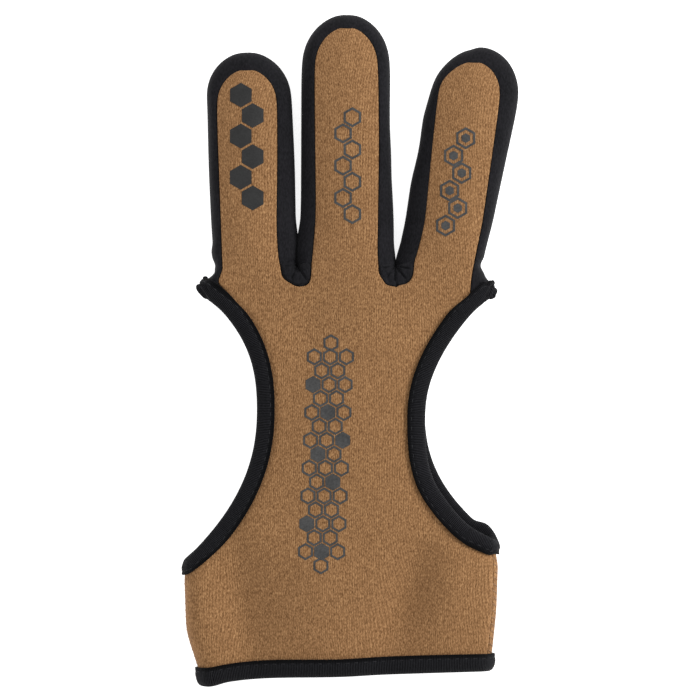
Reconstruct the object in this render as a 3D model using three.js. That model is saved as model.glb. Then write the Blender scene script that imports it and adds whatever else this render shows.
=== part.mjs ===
// A three-finger archery glove for the right hand, lying on its palm side with the back of the hand up.
// +Y runs towards the fingertips, +X towards the little finger's side and +Z up, in millimetres.
// Two panels of neoprene, back and palm, meet along the cuff's two side seams. Each finger has a wall of
// stretch fabric sewn between them. Tape is folded over every free edge: round the thumb's opening, round the
// little finger's opening and round the hem of the cuff. Every piece is a sheet that is given its thickness.
import * as THREE from "three";

// Cloth
const NEOPRENE = 2.0;
const STRETCH_FABRIC = 1.2;
const TAPE = 0.8;
const CLEARANCE = 0.3;
const SEAM_GAP = 0.45;
const TAPE_LEG = 4.1;

// Knuckles, where the fingers leave the hand
const KNUCKLE_LINE = 20.8;
const THUMB_KNUCKLE = -41.8;
const INDEX_CROTCH = -18.0;
const RING_CROTCH = 15.4;
const LITTLE_KNUCKLE = 40.0;
const KNUCKLE_HEIGHT = 12.0;
const KNUCKLE_DOME = 1.2;

// Ears, where the openings' tape turns round a knuckle from the back to the palm
const EAR_LINE = 14.8;
const EAR_REACH = 8.4;
const EAR_ANGLE = THREE.MathUtils.degToRad(40);
const EAR_FADE = 15.0;

// Waist of the hand, between the thumb's and the little finger's openings
const WAIST_LINE = -20.5;
const WAIST_THUMB_SIDE = -29.3;
const WAIST_LITTLE_SIDE = 22.9;
const WAIST_HEIGHT = 12.2;
const WAIST_DOME = 1.6;

// How sharply each opening's edge leaves the waist: 1 is a straight line, and more is a longer straight waist
const THUMB_CURVE_UP = 2.6;
const THUMB_CURVE_DOWN = 2.2;
const LITTLE_CURVE_UP = 1.85;
const LITTLE_CURVE_DOWN = 3.6;
const PALM_LITTLE_CURVE_DOWN = 2.4;

// Cuff
const CUFF_LINE = -64.8;
const CUFF_TILT = 2.8;
const CUFF_CENTRE = -3.1;
const CUFF_WIDTH = 103.6;
const CUFF_HEIGHT = 12.6;
const CUFF_DOME = 2.4;
const CUFF_SIDE_REACH = 4.6;
const CUFF_CORNER_REACH = 6.0;
const CUFF_CORNER_ANGLE = THREE.MathUtils.degToRad(42);
const CUFF_CORNER_FADE = 9.0;
const HEM_LINE = -107.4;
const HEM_TILT = 2.5;
const HEM_SAG = 0.9;

// Where the tape is folded under the palm, the palm's cloth lies higher by the tape and the room for it
const TAPE_ROOM = 0.6;
const TAPE_LIFT = TAPE + TAPE_ROOM + CLEARANCE;
const LIFT_RUN = 9.0;

// Mesh
const FINGER_COLUMNS = 5;
const FINGER_ROWS = 10;
const ROW_CROWDING = 1.7;
const TIP_ROWS = 4;
const TIP_END = THREE.MathUtils.degToRad(76);
const HAND_ROWS = 13;
const CUFF_ROWS = 7;
const SIDE_STEPS = 6;
const THUMB_SEAM_STEP = 3;
const LITTLE_SEAM_STEP = 1;
const FOLD_ANGLES = [Math.PI / 3, (2 * Math.PI) / 3];
const LEAST_SLANT = 0.5;
const RIM_POINTS = 5;

// Fingers: the middle of each at the knuckles, how far its tip leans aside, the length and width of its back
// face, the length of its round end, and the width of its walls beside the back face as seen from above
const INDEX_MIDDLE = -33.4;
const INDEX_LEAN = -1.5;
const INDEX_LENGTH = 72.9;
const INDEX_WIDTH = 18.8;
const INDEX_CAP = 11.0;
const INDEX_WALL = 6.4;
const MIDDLE_MIDDLE = -1.5;
const MIDDLE_LEAN = 0.3;
const MIDDLE_LENGTH = 87.1;
const MIDDLE_WIDTH = 20.7;
const MIDDLE_CAP = 12.5;
const MIDDLE_WALL = 5.4;
const RING_MIDDLE = 30.2;
const RING_LEAN = 9.6;
const RING_LENGTH = 76.5;
const RING_WIDTH = 19.4;
const RING_CAP = 11.5;
const RING_WALL = 6.6;
const FINGER_HEIGHT = 11.6;
const FINGER_DOME = 1.9;
const TIP_HEIGHT_SHARE = 0.78;
const TIP_TURN = 15;
const ROOT_BLEND = 0.2;
const CROTCH_REACH = 3.0;

// The fingers' sections give, at each share of the length, how far the two edges of the back face lie from
// the middle line, as shares of the width, and the two walls as shares of side.
const FINGERS = [
  {
    name: "index",
    from: THUMB_KNUCKLE,
    to: INDEX_CROTCH,
    base: INDEX_MIDDLE,
    tip: [INDEX_MIDDLE + INDEX_LEAN, KNUCKLE_LINE + INDEX_LENGTH],
    width: INDEX_WIDTH,
    cap: INDEX_CAP,
    side: INDEX_WALL,
    sections: [
      { at: 0.0, thumbSide: 0.5, littleSide: 0.74, thumbWall: 0.44, littleWall: 0.4 },
      { at: 0.05, thumbSide: 0.485, littleSide: 0.58, thumbWall: 0.4, littleWall: 0.8 },
      { at: 0.12, thumbSide: 0.485, littleSide: 0.48, thumbWall: 0.4, littleWall: 1.0 },
      { at: 0.28, thumbSide: 0.49, littleSide: 0.455, thumbWall: 0.5, littleWall: 1.0 },
      { at: 0.55, thumbSide: 0.51, littleSide: 0.495, thumbWall: 0.52, littleWall: 0.9 },
      { at: 0.85, thumbSide: 0.525, littleSide: 0.515, thumbWall: 0.48, littleWall: 0.74 },
      { at: 1.0, thumbSide: 0.52, littleSide: 0.51, thumbWall: 1.0, littleWall: 1.0 },
    ],
  },
  {
    name: "middle",
    from: INDEX_CROTCH,
    to: RING_CROTCH,
    base: MIDDLE_MIDDLE,
    tip: [MIDDLE_MIDDLE + MIDDLE_LEAN, KNUCKLE_LINE + MIDDLE_LENGTH],
    width: MIDDLE_WIDTH,
    cap: MIDDLE_CAP,
    side: MIDDLE_WALL,
    sections: [
      { at: 0.0, thumbSide: 0.74, littleSide: 0.74, thumbWall: 0.4, littleWall: 0.4 },
      { at: 0.04, thumbSide: 0.585, littleSide: 0.55, thumbWall: 0.7, littleWall: 0.8 },
      { at: 0.11, thumbSide: 0.535, littleSide: 0.49, thumbWall: 0.9, littleWall: 1.0 },
      { at: 0.28, thumbSide: 0.475, littleSide: 0.495, thumbWall: 0.92, littleWall: 0.96 },
      { at: 0.55, thumbSide: 0.495, littleSide: 0.51, thumbWall: 0.84, littleWall: 0.62 },
      { at: 0.85, thumbSide: 0.51, littleSide: 0.49, thumbWall: 0.78, littleWall: 0.7 },
      { at: 1.0, thumbSide: 0.5, littleSide: 0.48, thumbWall: 0.88, littleWall: 0.88 },
    ],
  },
  {
    name: "ring",
    from: RING_CROTCH,
    to: LITTLE_KNUCKLE,
    base: RING_MIDDLE,
    tip: [RING_MIDDLE + RING_LEAN, KNUCKLE_LINE + RING_LENGTH],
    width: RING_WIDTH,
    cap: RING_CAP,
    side: RING_WALL,
    sections: [
      { at: 0.0, thumbSide: 0.7, littleSide: 0.5, thumbWall: 0.4, littleWall: 0.44 },
      { at: 0.05, thumbSide: 0.56, littleSide: 0.49, thumbWall: 0.8, littleWall: 0.36 },
      { at: 0.12, thumbSide: 0.485, littleSide: 0.49, thumbWall: 0.95, littleWall: 0.4 },
      { at: 0.28, thumbSide: 0.465, littleSide: 0.48, thumbWall: 0.98, littleWall: 0.5 },
      { at: 0.55, thumbSide: 0.5, littleSide: 0.5, thumbWall: 0.82, littleWall: 0.72 },
      { at: 0.85, thumbSide: 0.52, littleSide: 0.52, thumbWall: 0.42, littleWall: 1.0 },
      { at: 1.0, thumbSide: 0.5, littleSide: 0.51, thumbWall: 0.56, littleWall: 1.1 },
    ],
  },
];

// The cuff's outline: its width, and the height of its sides, at each share of the way down to the hem
const CUFF_SECTIONS = [
  { at: 0.0, width: 0.99, height: 0.97 },
  { at: 0.2, width: 1.0, height: 1.02 },
  { at: 0.6, width: 0.99, height: 1.0 },
  { at: 0.85, width: 0.965, height: 0.98 },
  { at: 1.0, width: 0.955, height: 0.95 },
];

// Soft dents and swells in the cuff's back: across is a share of its half width, down a share of its length,
// spread and run their half sizes in the same shares, and depth a share of the dome's height
const CUFF_FOLDS = [
  { across: -0.52, down: 0.45, spread: 0.2, run: 0.5, depth: -0.75 },
  { across: -0.12, down: 0.5, spread: 0.2, run: 0.6, depth: 0.3 },
  { across: 0.55, down: 0.42, spread: 0.18, run: 0.42, depth: -0.7 },
  { across: 0.84, down: 0.5, spread: 0.12, run: 0.5, depth: 0.25 },
];

// The share of the way through a smooth step from 0 to 1.
function smooth(share) {
  return THREE.MathUtils.smoothstep(share, 0, 1);
}

// A column of a table of sections, at a share of its length, with a smooth curve between its rows.
function sample(table, column, share) {
  const after = Math.max(1, table.findIndex((row) => row.at >= share));
  const low = table[after - 1];
  const high = table[after];
  return THREE.MathUtils.lerp(low[column], high[column], (share - low.at) / (high.at - low.at));
}

// A cloth sheet without thickness: quads over points that are shared where they coincide.
class Sheet {
  points = [];
  quads = [];
  index = new Map();

  add(point) {
    const key = point.toArray().map((value) => value.toFixed(3)).join();
    if (!this.index.has(key)) {
      this.index.set(key, this.points.length);
      this.points.push(point);
    }
    return this.index.get(key);
  }

  // Adds rows of points, each as long as the next, joined into quads. A closed grid's last row meets its first.
  addGrid(rows, closed = false) {
    const ids = rows.map((row) => row.map((point) => this.add(point)));
    const last = closed ? ids.length : ids.length - 1;
    for (let i = 0; i < last; i++) {
      const here = ids[i];
      const next = ids[(i + 1) % ids.length];
      for (let j = 0; j + 1 < here.length; j++) this.quads.push([here[j], next[j], next[j + 1], here[j + 1]]);
    }
    return this;
  }

  normals() {
    const sums = this.points.map(() => new THREE.Vector3());
    for (const quad of this.quads) {
      const [a, b, c, d] = quad.map((id) => this.points[id]);
      const facing = new THREE.Vector3().crossVectors(c.clone().sub(a), d.clone().sub(b));
      quad.forEach((id) => sums[id].add(facing));
    }
    return sums.map((sum) => sum.normalize());
  }

  // The closed solid of this sheet: half the thickness either side, and a wall along each free edge.
  solid(thickness) {
    const normals = this.normals();
    const count = this.points.length;
    const moved = (half) => this.points.map((point, i) => point.clone().addScaledVector(normals[i], half));
    const positions = [...moved(thickness / 2), ...moved(-thickness / 2)].flatMap((point) => point.toArray());
    const edges = new Set(this.quads.flatMap((quad) => quad.map((id, i) => `${id},${quad[(i + 1) % 4]}`)));
    const triangles = [];
    for (const quad of this.quads) {
      const [a, b, c, d] = quad;
      triangles.push(a, b, c, a, c, d);
      triangles.push(c + count, b + count, a + count, d + count, c + count, a + count);
      quad.forEach((from, i) => {
        const to = quad[(i + 1) % 4];
        if (edges.has(`${to},${from}`)) return;
        triangles.push(to, from, from + count, to, from + count, to + count);
      });
    }
    const geometry = new THREE.BufferGeometry();
    geometry.setAttribute("position", new THREE.Float32BufferAttribute(positions, 3));
    geometry.setIndex(triangles);
    geometry.computeVertexNormals();
    return geometry;
  }
}

// A half oval from a point of the back's edge to the one below it on the palm, bulging by reach along a
// direction in plan. Steps run from 0, at the back, to SIDE_STEPS, at the palm.
function halfOval(backPoint, palmPoint, direction, reach) {
  const middle = backPoint.clone().lerp(palmPoint, 0.5);
  const up = backPoint.clone().sub(middle);
  return Array.from({ length: SIDE_STEPS + 1 }, (_, step) => {
    const angle = (Math.PI * step) / SIDE_STEPS;
    return middle
      .clone()
      .addScaledVector(up, Math.cos(angle))
      .addScaledVector(direction, reach * Math.sin(angle));
  });
}

// The hand's edge in plan, at a place between the ears and the cuff, on one side.
function openingEdge(y, side, palm) {
  const thumb = side < 0;
  const waist = thumb ? WAIST_THUMB_SIDE : WAIST_LITTLE_SIDE;
  const knuckle = thumb ? THUMB_KNUCKLE : LITTLE_KNUCKLE;
  const cuff = cuffEdge(0, side);
  if (y > WAIST_LINE) {
    const share = (y - WAIST_LINE) / (EAR_LINE - WAIST_LINE);
    return waist + (knuckle - waist) * share ** (thumb ? THUMB_CURVE_UP : LITTLE_CURVE_UP);
  }
  const littleCurve = palm ? PALM_LITTLE_CURVE_DOWN : LITTLE_CURVE_DOWN;
  const share = (WAIST_LINE - y) / (WAIST_LINE - cuffLineAt(side));
  return waist + (cuff - waist) * share ** (thumb ? THUMB_CURVE_DOWN : littleCurve);
}

// Where the cuff's flat back ends and its round side begins, at a share of the way down to the hem.
function cuffEdge(down, side) {
  const half = (CUFF_WIDTH / 2) * sample(CUFF_SECTIONS, "width", down);
  return CUFF_CENTRE + side * (half - CUFF_SIDE_REACH);
}

// The places of the cuff's top and of its hem at a share of the half width, from -1 at the thumb's side to 1.
function cuffLineAt(across) {
  return CUFF_LINE + CUFF_TILT * across;
}

function hemAt(across) {
  return HEM_LINE + HEM_TILT * across - HEM_SAG * across * across;
}

// A value that the hand takes at a place along it, from its knuckles through its waist to its cuff.
function alongHand(place, across, knuckle, waist, cuff) {
  if (place > WAIST_LINE) {
    return THREE.MathUtils.lerp(waist, knuckle, smooth((place - WAIST_LINE) / (EAR_LINE - WAIST_LINE)));
  }
  return THREE.MathUtils.lerp(waist, cuff, smooth((WAIST_LINE - place) / (WAIST_LINE - cuffLineAt(across))));
}

function cuffFolds(across, down) {
  if (down === 0) return 0;
  return CUFF_FOLDS.reduce((sum, fold) => {
    const aside = (across - fold.across) / fold.spread;
    const along = (down - fold.down) / fold.run;
    return sum + CUFF_DOME * fold.depth * Math.exp(-aside * aside - along * along);
  }, 0);
}

// Shares across the hand of the columns of points: each finger's columns, side by side.
function columnShares() {
  const width = LITTLE_KNUCKLE - THUMB_KNUCKLE;
  const shares = FINGERS.flatMap((finger) =>
    Array.from(
      { length: FINGER_COLUMNS },
      (_, i) => (finger.from - THUMB_KNUCKLE + ((finger.to - finger.from) * i) / FINGER_COLUMNS) / width,
    ),
  );
  return [...shares, 1];
}
const COLUMNS = columnShares();

// One row across the hand or cuff, from the thumb's side to the little finger's. placeAt gives the row's place
// at each share of the half width, and down is 0 along the hand and the share of the cuff's length below its top.
function handRow(placeAt, down, palm) {
  const edge = (side) => {
    if (down > 0) return cuffEdge(down, side);
    if (placeAt(side) < EAR_LINE) return openingEdge(placeAt(side), side, palm);
    return side < 0 ? THUMB_KNUCKLE : LITTLE_KNUCKLE;
  };
  const [left, right] = [edge(-1), edge(1)];
  const cuffHeight = CUFF_HEIGHT * sample(CUFF_SECTIONS, "height", down);
  return COLUMNS.map((share) => {
    const across = 2 * share - 1;
    const place = placeAt(across);
    const fromSide = (1 - Math.abs(across)) * (right - left) * 0.5;
    const fromOpening = Math.hypot(fromSide, Math.max(0, cuffLineAt(across) - place, place - EAR_LINE));
    const fromTape = Math.min(fromOpening, down > 0 ? place - hemAt(across) : Infinity);
    const lift = TAPE_LIFT * (1 - smooth((fromTape - TAPE_LEG) / LIFT_RUN));
    const sides = alongHand(place, across, KNUCKLE_HEIGHT, WAIST_HEIGHT, cuffHeight);
    const dome = alongHand(place, across, KNUCKLE_DOME, WAIST_DOME, CUFF_DOME) * (1 - across * across);
    const height = palm ? NEOPRENE / 2 + lift : sides + dome + cuffFolds(across, down);
    return new THREE.Vector3(THREE.MathUtils.lerp(left, right, share), place, height);
  });
}

// All rows of the hand and cuff of one panel, from the knuckles to the hem.
function handRows(palm) {
  const hand = Array.from({ length: HAND_ROWS + 1 }, (_, i) =>
    handRow((across) => THREE.MathUtils.lerp(EAR_LINE, cuffLineAt(across), i / HAND_ROWS), 0, palm),
  );
  const cuff = Array.from({ length: CUFF_ROWS }, (_, i) => {
    const down = (i + 1) / CUFF_ROWS;
    return handRow((across) => THREE.MathUtils.lerp(cuffLineAt(across), hemAt(across), down), down, palm);
  });
  return [handRow(() => KNUCKLE_LINE, 0, palm), ...hand, ...cuff];
}

// The rows of one finger, from the knuckles to its tip. The last rows close round the tip along an oval.
function fingerRows(finger, knuckleRow, palm) {
  const base = new THREE.Vector2(finger.base, KNUCKLE_LINE);
  const axis = new THREE.Vector2(...finger.tip).sub(base);
  const length = axis.length();
  axis.normalize();
  const aside = new THREE.Vector2(axis.y, -axis.x);
  const straight = length - finger.cap;
  const stations = [
    ...FINGER_PLACES.map((share) => ({ along: straight * share, narrowing: 1 })),
    ...Array.from({ length: TIP_ROWS }, (_, i) => {
      const angle = (TIP_END * (i + 1)) / TIP_ROWS;
      return { along: straight + finger.cap * Math.sin(angle), narrowing: Math.cos(angle) };
    }),
  ];
  const first = FINGER_COLUMNS * FINGERS.indexOf(finger);
  const roots = knuckleRow.slice(first, first + FINGER_COLUMNS + 1);
  const rows = stations.map(({ along, narrowing }) => {
    const share = Math.min(1, along / length);
    const left = -finger.width * sample(finger.sections, "thumbSide", share) * narrowing;
    const right = finger.width * sample(finger.sections, "littleSide", share) * narrowing;
    const fade = smooth(share / ROOT_BLEND);
    return roots.map((root, i) => {
      const across = (2 * i) / FINGER_COLUMNS - 1;
      const reach = THREE.MathUtils.lerp(left, right, i / FINGER_COLUMNS);
      const place = base.clone().addScaledVector(axis, along).addScaledVector(aside, reach);
      const tip = THREE.MathUtils.lerp(1, TIP_HEIGHT_SHARE, smooth((share - 0.7) / 0.3));
      const dome = FINGER_DOME * (1 - across * across) * narrowing;
      const height = THREE.MathUtils.lerp(root.z, palm ? NEOPRENE / 2 : FINGER_HEIGHT * tip + dome, fade);
      return new THREE.Vector3(place.x, place.y, height);
    });
  });
  return [roots, ...rows];
}
const FINGER_PLACES = Array.from({ length: FINGER_ROWS }, (_, i) => ((i + 1) / FINGER_ROWS) ** ROW_CROWDING);

// The seam round a finger, seen from above: up the thumb's side, round the tip and down the other side.
function seamRound(rows) {
  const last = rows.length - 1;
  const up = rows.map((row) => row[0]);
  const over = rows[last].slice(1, -1);
  const back = rows.map((row) => row[row.length - 1]).reverse();
  return [...up, ...over, ...back];
}

// The two panels' grids of points.
const back = handRows(false);
const palm = handRows(true);
const backFingers = FINGERS.map((finger) => fingerRows(finger, back[0], false));
const palmFingers = FINGERS.map((finger) => fingerRows(finger, palm[0], true));

// The cuff's round sides, a half oval at each row from the openings' lower corner to the hem.
function cuffSides(side) {
  const at = side < 0 ? 0 : COLUMNS.length - 1;
  const top = HAND_ROWS + 1;
  return back.slice(top).map((row, i) => {
    const fade = smooth((back[top][at].y - row[at].y) / CUFF_CORNER_FADE);
    const turned = CUFF_CORNER_ANGLE * (1 - fade);
    const direction = new THREE.Vector3(side * Math.cos(turned), -Math.sin(turned), 0);
    const reach = THREE.MathUtils.lerp(CUFF_CORNER_REACH, CUFF_SIDE_REACH, fade);
    return halfOval(row[at], palm[top + i][at], direction, reach);
  });
}
const thumbSides = cuffSides(-1);
const littleSides = cuffSides(1);

// A finger's wall, one half oval at each point of the seam round it. Beside the openings it starts at the
// ear, turned towards the tape, and in a crotch it only reaches the plane between the two fingers.
function wallStations(finger, index) {
  const backSeam = seamRound(backFingers[index]);
  const palmSeam = seamRound(palmFingers[index]);
  const earBefore = index === 0;
  const earAfter = index === FINGERS.length - 1;
  const rowsUp = backFingers[index].length;
  if (earBefore) {
    backSeam.unshift(back[1][0]);
    palmSeam.unshift(palm[1][0]);
  }
  if (earAfter) {
    backSeam.push(back[1][COLUMNS.length - 1]);
    palmSeam.push(palm[1][COLUMNS.length - 1]);
  }
  const tipHeight = new THREE.Vector2(...finger.tip).distanceTo(new THREE.Vector2(finger.base, KNUCKLE_LINE));
  const turn = rowsUp - 1 + (earBefore ? 1 : 0) + FINGER_COLUMNS / 2;
  return backSeam.map((point, i) => {
    const before = backSeam[Math.max(0, i - 1)];
    const after = backSeam[Math.min(backSeam.length - 1, i + 1)];
    const normal = new THREE.Vector3(before.y - after.y, after.x - before.x, 0).normalize();
    const thumbSide = i < turn;
    const share = THREE.MathUtils.clamp((point.y - KNUCKLE_LINE) / tipHeight, 0, 1);
    const wall = THREE.MathUtils.lerp(
      sample(finger.sections, "thumbWall", share),
      sample(finger.sections, "littleWall", share),
      smooth((i - turn) / TIP_TURN + 0.5),
    );
    let reach = finger.side * wall - STRETCH_FABRIC / 2;
    const start = normal.clone().multiplyScalar(SEAM_GAP);
    const ends = [point.clone(), palmSeam[i].clone()];
    if (thumbSide ? earBefore : earAfter) {
      const fade = smooth((point.y - EAR_LINE) / EAR_FADE);
      const angle = EAR_ANGLE * (1 - fade);
      const ear = new THREE.Vector3((thumbSide ? -1 : 1) * Math.cos(angle), Math.sin(angle), 0);
      normal.lerp(ear, 1 - fade).normalize();
      reach = THREE.MathUtils.lerp(EAR_REACH, reach, fade);
    } else {
      const plane = thumbSide ? finger.from : finger.to;
      const nearest = (STRETCH_FABRIC + CLEARANCE) / 2 + Math.abs(start.x);
      const room = Math.abs(plane - point.x) - nearest;
      if (room < 0) {
        const inner = thumbSide ? i + 1 : i - 1;
        const share = nearest / Math.abs(plane - backSeam[inner].x);
        ends[0].lerp(backSeam[inner], share);
        ends[1].lerp(palmSeam[inner], share);
        normal.set(0, 1, 0);
        reach = CROTCH_REACH;
      } else {
        reach = Math.min(reach, room / Math.abs(normal.x));
      }
    }
    return halfOval(ends[0].add(start), ends[1].add(start), normal, reach);
  });
}
const walls = FINGERS.map(wallStations);

// The back or palm panel: its fingers, the hand and the cuff, with the cuff's round sides as far as the side
// seams, which are half way along one step of each side.
function panel(rows, fingers, isPalm) {
  const sheet = new Sheet();
  fingers.forEach((finger) => sheet.addGrid(finger.slice().reverse()));
  sheet.addGrid(rows);
  const strip = (side, step) => {
    const [own, other] = isPalm ? [side[step + 1], side[step]] : [side[step], side[step + 1]];
    const seam = own.clone().lerp(other, 0.5 - CLEARANCE / 2 / own.distanceTo(other));
    return isPalm ? [seam, ...side.slice(step + 1)].reverse() : [...side.slice(0, step + 1), seam];
  };
  sheet.addGrid(thumbSides.map((side) => strip(side, THUMB_SEAM_STEP).reverse()));
  sheet.addGrid(littleSides.map((side) => strip(side, LITTLE_SEAM_STEP)));
  return sheet;
}
const backSheet = panel(back, backFingers, false);
const palmSheet = panel(palm, palmFingers, true);
const wallSheets = walls.map((wall) => new Sheet().addGrid(wall));

// Which way the cloth faces at each point of the openings' edges and the hem.
const facings = new Map();
const round = new Sheet().addGrid(thumbSides).addGrid(littleSides);
for (const sheet of [round, backSheet, palmSheet, ...wallSheets]) {
  sheet.normals().forEach((normal, i) => facings.set(sheet.points[i], normal));
}

// A place at a distance along a line of points: the point, the direction there away from the line's far end, and
// the way the cloth faces.
function along(line, distance) {
  let step = 0;
  let rest = distance;
  while (step + 2 < line.length && rest > line[step].distanceTo(line[step + 1])) {
    rest -= line[step].distanceTo(line[step + 1]);
    step += 1;
  }
  const [from, to] = [line[step], line[step + 1]];
  const direction = from.clone().sub(to).normalize();
  const facing = facings.get(from).clone();
  const toFacing = facings.get(to).clone();
  if (facing.dot(toFacing) < 0) toFacing.negate();
  facing.lerp(toFacing, rest / from.distanceTo(to)).normalize();
  return { point: from.clone().addScaledVector(direction, -rest), direction, facing };
}

// Tape folded over the closed edge of a cloth. Each line of the rim starts at the edge and runs a few points
// into the cloth, so that the tape's two legs follow the cloth's faces.
function foldedTape(rim) {
  const offset = NEOPRENE / 2 + TAPE_ROOM + TAPE / 2;
  const count = rim.length;
  const around = (i, distance) => {
    const before = along(rim[(i + count - 1) % count], distance).point;
    const after = along(rim[(i + 1) % count], distance).point;
    return after.sub(before).normalize();
  };
  const rows = rim.map((line, i) => {
    const slant = new THREE.Vector3().crossVectors(around(i, 0), along(line, 0).direction).length();
    const stations = [1, 0.5, 0].map((share) => {
      const distance = (share * TAPE_LEG) / Math.max(slant, LEAST_SLANT);
      const { point, direction, facing } = along(line, distance);
      const edgeway = around(i, distance);
      if (new THREE.Vector3().crossVectors(edgeway, direction).dot(facing) < 0) facing.negate();
      return { point, facing, out: new THREE.Vector3().crossVectors(facing, edgeway).normalize() };
    });
    const [, , edge] = stations;
    const leg = (side) => stations.map(({ point, facing }) => point.clone().addScaledVector(facing, side * offset));
    const fold = FOLD_ANGLES.map((angle) =>
      edge.point
        .clone()
        .addScaledVector(edge.out, offset * Math.sin(angle))
        .addScaledVector(edge.facing, offset * Math.cos(angle)),
    );
    return [...leg(1), ...fold, ...leg(-1).reverse()];
  });
  return new Sheet().addGrid(rows, true);
}

// The edge of an opening, as lines from the edge into the cloth: down the back, round the cuff's corner, up the
// palm and round the ear.
function openingRim(side) {
  const fromSide = (row) => (side < 0 ? row.slice(0, RIM_POINTS) : row.slice(-RIM_POINTS).reverse());
  const sides = side < 0 ? thumbSides : littleSides;
  const wall = side < 0 ? walls[0] : walls[walls.length - 1].slice().reverse();
  const edgeRows = (rows) => rows.slice(1, HAND_ROWS + 2).map(fromSide);
  const across = (strips) =>
    strips[0].map((_, i) => strips.slice(0, RIM_POINTS).map((strip) => strip[i])).slice(1, -1);
  return [...edgeRows(back), ...across(sides), ...edgeRows(palm).reverse(), ...across(wall).reverse()];
}

// The cuff's lower edge, all the way round, in lines of the same kind.
function hemRim() {
  const rings = Array.from({ length: RIM_POINTS }, (_, up) => {
    const row = back.length - 1 - up;
    const side = thumbSides.length - 1 - up;
    return [
      ...back[row],
      ...littleSides[side].slice(1, -1),
      ...palm[row].slice().reverse(),
      ...thumbSides[side].slice(1, -1).reverse(),
    ];
  });
  return rings[0].map((_, i) => rings.map((ring) => ring[i]));
}

// Materials
const tan = new THREE.MeshStandardMaterial({ color: 0xa9784f, roughness: 0.95, metalness: 0 });
const blackStretch = new THREE.MeshStandardMaterial({ color: 0x1c1d21, roughness: 0.75, metalness: 0 });
const blackTape = new THREE.MeshStandardMaterial({ color: 0x17171a, roughness: 0.85, metalness: 0 });

const glove = new THREE.Group();

function addPiece(name, sheet, thickness, material) {
  const piece = new THREE.Mesh(sheet.solid(thickness), material);
  piece.name = name;
  glove.add(piece);
}

addPiece("back_panel", backSheet, NEOPRENE, tan);
addPiece("palm_panel", palmSheet, NEOPRENE, tan);
FINGERS.forEach((finger, i) => addPiece(`${finger.name}_side_wall`, wallSheets[i], STRETCH_FABRIC, blackStretch));
addPiece("thumb_opening_tape", foldedTape(openingRim(-1)), TAPE, blackTape);
addPiece("little_finger_opening_tape", foldedTape(openingRim(1)), TAPE, blackTape);
addPiece("hem_tape", foldedTape(hemRim()), TAPE, blackTape);

// The origin is at the middle of the footprint, on the surface that the glove lies on.
const box = new THREE.Box3().setFromObject(glove);
const middle = box.getCenter(new THREE.Vector3());
glove.position.set(-middle.x, -middle.y, -box.min.z);

export default glove;
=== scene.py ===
# An archery glove for the right hand, lying flat with the back of the hand up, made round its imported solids.
import math

import bmesh
import bpy
from mathutils import Matrix, Vector, noise
from mathutils.bvhtree import BVHTree
from mathutils.kdtree import KDTree


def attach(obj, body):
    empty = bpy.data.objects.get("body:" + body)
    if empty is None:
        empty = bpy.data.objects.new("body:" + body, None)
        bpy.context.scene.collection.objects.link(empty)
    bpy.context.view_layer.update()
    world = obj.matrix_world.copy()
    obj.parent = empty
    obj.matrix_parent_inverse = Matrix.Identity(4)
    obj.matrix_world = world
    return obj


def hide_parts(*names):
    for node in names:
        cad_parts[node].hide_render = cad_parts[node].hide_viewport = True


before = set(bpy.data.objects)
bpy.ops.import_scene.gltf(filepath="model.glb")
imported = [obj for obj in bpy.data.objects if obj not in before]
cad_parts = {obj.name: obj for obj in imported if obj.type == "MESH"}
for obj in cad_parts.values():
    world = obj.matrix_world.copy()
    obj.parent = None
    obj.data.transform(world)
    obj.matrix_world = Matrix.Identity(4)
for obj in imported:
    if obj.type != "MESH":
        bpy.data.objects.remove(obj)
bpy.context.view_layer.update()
bpy.ops.object.select_all(action="DESELECT")
MM = 0.001


# The table and the light: the glove lies on a white table under a wide soft lamp, a little to the upper
# right, and is seen from straight above through a long lens.
MM_PER_PIXEL = 0.336
PICTURE_SIDE = 700
PICTURE_CENTRE = Vector((0.86, 0.12, 8.0)) * MM
CAMERA_HEIGHT = 1.5
SENSOR = 36.0
TABLE_SIDE = 12.0
TABLE_DROP = 0.2 * MM

bpy.ops.object.camera_add(location=PICTURE_CENTRE + Vector((0, 0, CAMERA_HEIGHT)))
camera = bpy.context.object
camera.data.sensor_width = SENSOR
camera.data.lens = SENSOR * CAMERA_HEIGHT / (PICTURE_SIDE * MM_PER_PIXEL * MM)
camera.data.clip_end = 20.0
bpy.context.scene.camera = camera

bpy.ops.mesh.primitive_plane_add(size=TABLE_SIDE, location=(0, 0, -TABLE_DROP))
table = bpy.context.object
table.name = "table"
table_finish = bpy.data.materials.new("white_table")
table_finish.use_nodes = True
table_paint = table_finish.node_tree.nodes["Principled BSDF"]
table_paint.inputs["Base Color"].default_value = (0.96, 0.96, 0.96, 1)
table_paint.inputs["Roughness"].default_value = 0.9
table_paint.inputs["Emission Color"].default_value = (1, 1, 1, 1)
table_paint.inputs["Emission Strength"].default_value = 0.8
table.data.materials.append(table_finish)


def lamp(name, place, power, size):
    """A soft square lamp that points at the middle of the glove."""
    bpy.ops.object.light_add(type="AREA", location=place)
    light = bpy.context.object
    light.name = name
    light.data.energy = power
    light.data.size = size
    light.rotation_mode = "QUATERNION"
    light.rotation_quaternion = (-Vector(place)).to_track_quat("-Z", "Y")


lamp("key_light", (1.1, 0.55, 0.62), power=15.0, size=0.6)
lamp("fill_light", (-0.9, -0.3, 1.0), power=2.0, size=1.2)
sky = bpy.data.worlds.new("studio")
sky.use_nodes = True
sky.node_tree.nodes["Background"].inputs["Color"].default_value = (1, 1, 1, 1)
sky.node_tree.nodes["Background"].inputs["Strength"].default_value = 0.74
bpy.context.scene.world = sky
bpy.context.scene.view_settings.view_transform = "Standard"


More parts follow.
